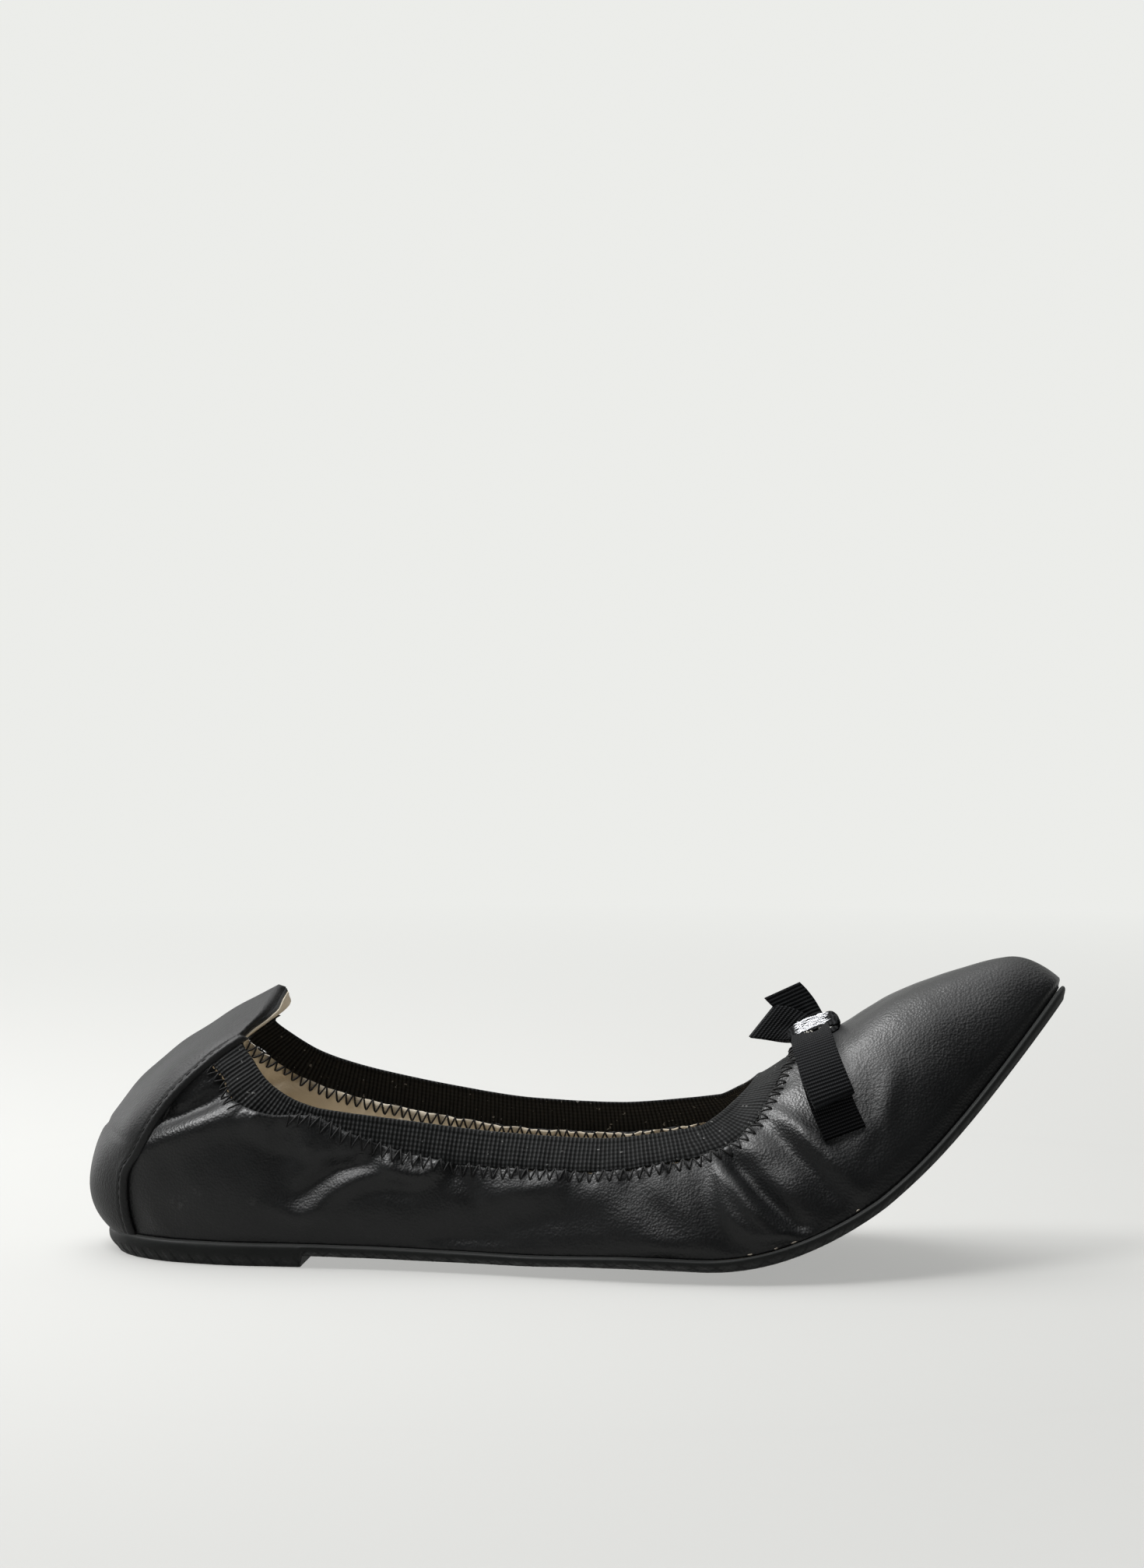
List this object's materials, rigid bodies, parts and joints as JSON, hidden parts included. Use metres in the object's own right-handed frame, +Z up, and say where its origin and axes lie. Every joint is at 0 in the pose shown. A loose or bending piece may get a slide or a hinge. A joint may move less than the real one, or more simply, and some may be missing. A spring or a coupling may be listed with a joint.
{
  "type": "ballet flat",
  "caption": "Pointed ballet flat with a hollow gathered upper, elastic collar, heel tab, ribbon bow and a thin rubber sole with a low stepped heel.",
  "frame": {"origin": "centre of the flat spot under the heel, on the floor", "axes": "+X from heel to toe, +Y to the inner side of the foot, +Z up"},
  "size_m": [0.2312, 0.0814, 0.0705],
  "materials": {
    "black_leather": "soft grained black leather with a satin gloss",
    "sole_rubber": "matt moulded black rubber",
    "lining": "matt cream lining",
    "collar_elastic": "ribbed black elastic",
    "grosgrain": "black ribbon with ribs across its width"
  },
  "bodies": {
    "root": {"outsole": "sole_rubber", "insole": "lining", "upper": "black_leather", "heel_panel": "black_leather", "collar_elastic": "collar_elastic", "bow_loop_near": "grosgrain", "bow_tail_near": "grosgrain", "bow_loop_far": "grosgrain", "bow_tail_far": "grosgrain", "bow_knot": "grosgrain"}
  },
  "joints": []
}
